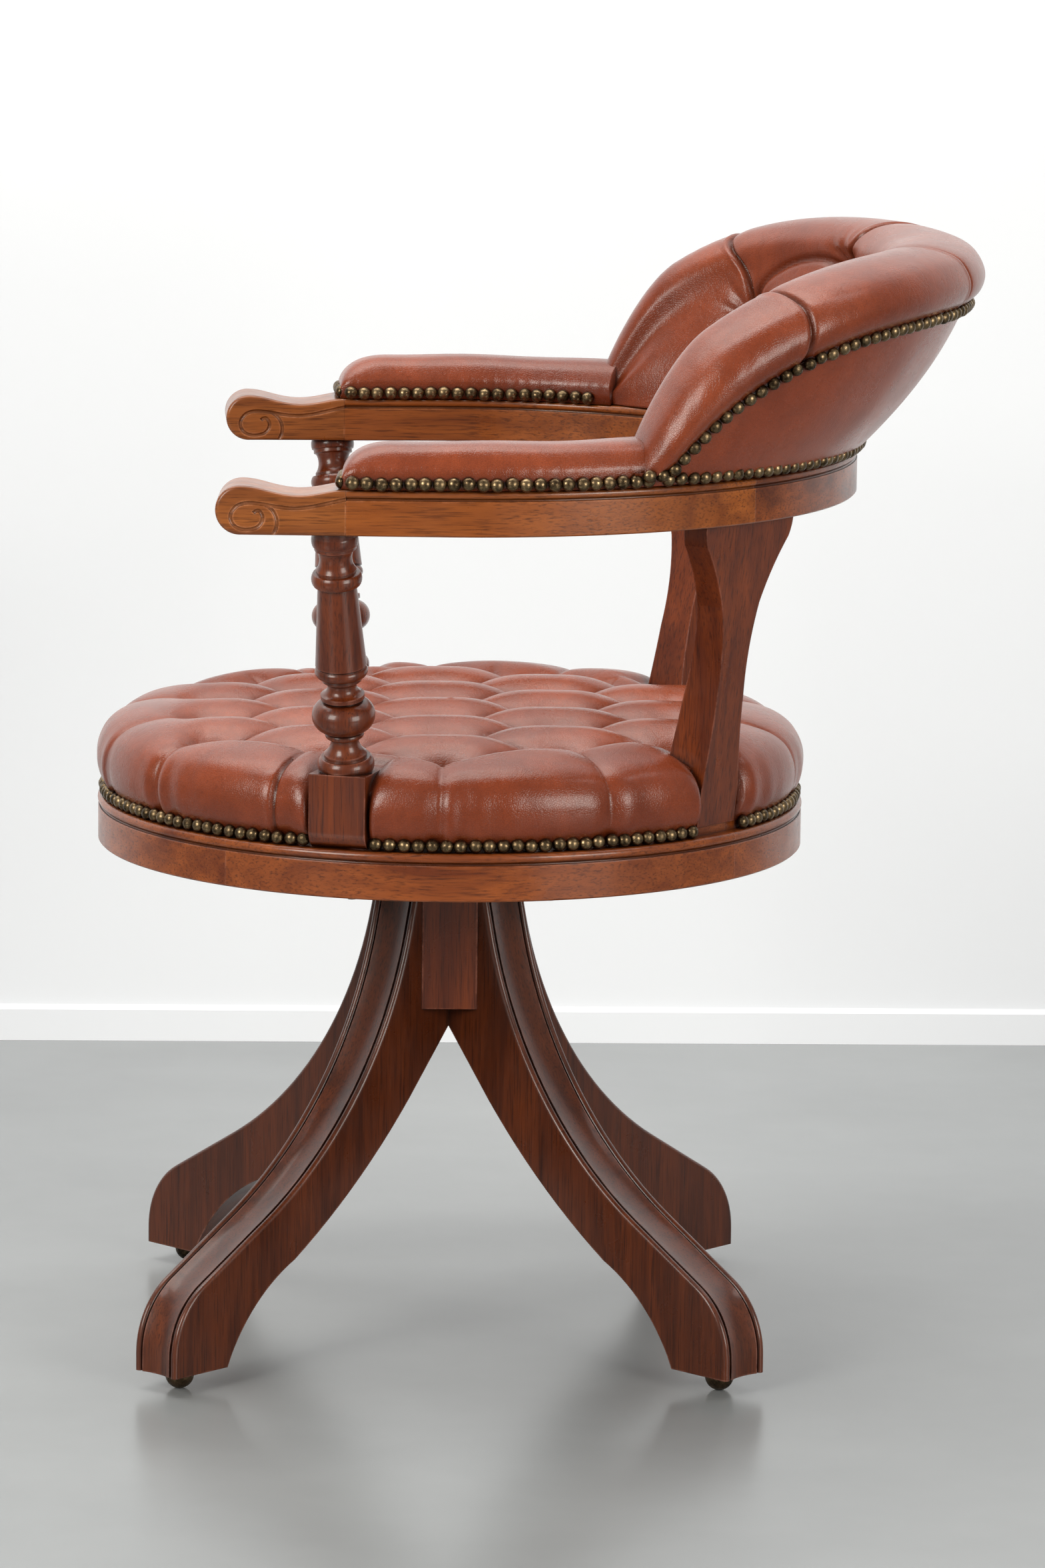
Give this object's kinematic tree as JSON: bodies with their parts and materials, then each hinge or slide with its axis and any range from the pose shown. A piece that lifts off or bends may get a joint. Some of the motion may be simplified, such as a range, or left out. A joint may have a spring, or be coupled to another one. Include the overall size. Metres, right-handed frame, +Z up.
{
  "type": "swivel desk chair",
  "caption": "Captain's desk chair with a deep-buttoned round leather seat, a horseshoe wooden arm rail, a rolled low back, and swept legs. It swivels, and a screw sets its height.",
  "frame": {"origin": "on the floor, under the seat's swivel axis", "axes": "+Z up along the swivel axis, the chair faces -Y, +X is the sitter's left"},
  "size_m": [0.5954, 0.6461, 0.82],
  "materials": {
    "dark_wood": "satin varnish over a dark red-brown stain",
    "rail_wood": "satin varnish over a mid red-brown stain",
    "plain_wood": "unfinished",
    "cup_bronze": "dark antique bronze",
    "ball_bronze": "dark antique bronze, rubbed",
    "black_steel": "black enamel",
    "screw_steel": "plain steel, lightly oiled",
    "washer_nylon": "plain nylon",
    "leather": "glossy, reddish brown, aged",
    "button_leather": "glossy, reddish brown, aged",
    "foam": "plain upholstery foam",
    "nail_brass": "antique brass, mottled"
  },
  "bodies": {
    "base": {"leg_front_left": "dark_wood", "leg_back_left": "dark_wood", "leg_back_right": "dark_wood", "leg_front_right": "dark_wood", "corner_blocks": "dark_wood", "castor_cups": "cup_bronze", "swivel_socket": "black_steel", "socket_screws": "screw_steel", "thrust_washer": "washer_nylon"},
    "ball_front_left": {"castor_ball_front_left": "ball_bronze"},
    "ball_back_left": {"castor_ball_back_left": "ball_bronze"},
    "ball_back_right": {"castor_ball_back_right": "ball_bronze"},
    "ball_front_right": {"castor_ball_front_right": "ball_bronze"},
    "turntable": {"turntable_collar": "black_steel", "spindle_key": "screw_steel"},
    "nut": {"height_nut": "black_steel"},
    "seat": {"front_block_left": "dark_wood", "front_block_right": "dark_wood", "baluster_left": "dark_wood", "baluster_right": "dark_wood", "rear_post_left": "dark_wood", "rear_post_right": "dark_wood", "seat_rail_front": "rail_wood", "seat_rail_back": "rail_wood", "seat_rail_left": "rail_wood", "seat_rail_right": "rail_wood", "arm_hand_left": "rail_wood", "arm_hand_right": "rail_wood", "arm_side_left": "rail_wood", "arm_side_right": "rail_wood", "arm_back": "rail_wood", "seat_block": "plain_wood", "seat_board": "plain_wood", "back_frame": "plain_wood", "spider": "black_steel", "spindle": "screw_steel", "spindle_pin": "screw_steel", "mechanism_bolts": "screw_steel", "mechanism_nuts": "screw_steel", "seat_cover": "leather", "arm_pad_left": "leather", "arm_pad_right": "leather", "back_outer_cover": "leather", "back_pad": "leather", "back_roll": "leather", "seat_buttons": "button_leather", "back_buttons": "button_leather", "seat_foam": "foam", "seat_nails": "nail_brass", "arm_nails": "nail_brass", "roll_nails": "nail_brass"}
  },
  "joints": [
    {"name": "seat_swivel", "type": "hinge", "parent": "base", "child": "turntable", "pos_m": [0, 0, 0.3], "axis": [0, 0, 1], "continuous": true},
    {"name": "nut_turn", "type": "hinge", "parent": "turntable", "child": "nut", "pos_m": [0, 0, 0.346], "axis": [0, 0, 1], "range_deg": [-3600, 0]},
    {"name": "seat_height", "type": "slide", "parent": "turntable", "child": "seat", "axis": [0, 0, 1], "range_m": [0, 0.05]},
    {"name": "roll_front_left", "type": "hinge", "parent": "base", "child": "ball_front_left", "pos_m": [0.19516, -0.19516, 0.0105], "axis": [0.7071, 0.7071, 0], "continuous": true},
    {"name": "roll_back_left", "type": "hinge", "parent": "base", "child": "ball_back_left", "pos_m": [0.19516, 0.19516, 0.0105], "axis": [-0.7071, 0.7071, 0], "continuous": true},
    {"name": "roll_back_right", "type": "hinge", "parent": "base", "child": "ball_back_right", "pos_m": [-0.19516, 0.19516, 0.0105], "axis": [-0.7071, -0.7071, 0], "continuous": true},
    {"name": "roll_front_right", "type": "hinge", "parent": "base", "child": "ball_front_right", "pos_m": [-0.19516, -0.19516, 0.0105], "axis": [0.7071, -0.7071, 0], "continuous": true}
  ],
  "couplings": [
    {"joint": "nut_turn", "follows": "seat_height", "rad_per_m": -1256.6}
  ]
}
